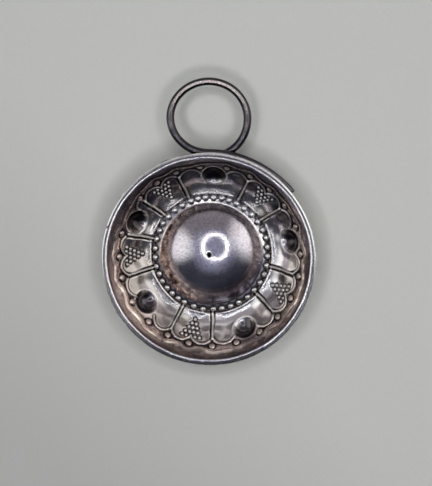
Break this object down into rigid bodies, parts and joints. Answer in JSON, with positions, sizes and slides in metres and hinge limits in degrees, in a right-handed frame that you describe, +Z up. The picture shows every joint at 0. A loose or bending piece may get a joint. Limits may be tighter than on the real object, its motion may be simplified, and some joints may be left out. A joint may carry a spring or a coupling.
{
  "type": "tastevin",
  "caption": "Shallow silver wine-taster's cup with a domed boss, chased lobes, beads and grapes, and a coiled wire finger ring.",
  "frame": {"origin": "on the bowl's axis in the plane of the table that the bowl stands on", "axes": "+Z up out of the bowl, +Y from the axis to the finger ring, +X to the right when seen from above with the ring away from the viewer"},
  "size_m": [0.075, 0.1006, 0.017],
  "materials": {
    "chased_silver": "satin",
    "rim_silver": "gloss",
    "wire_silver": "gloss",
    "solder": "satin"
  },
  "bodies": {
    "root": {"bowl": "chased_silver", "rim_wire": "rim_silver", "rim_seam": "solder", "rim_solder": "solder", "handle_wire": "wire_silver", "handle_solder": "solder"}
  },
  "joints": []
}
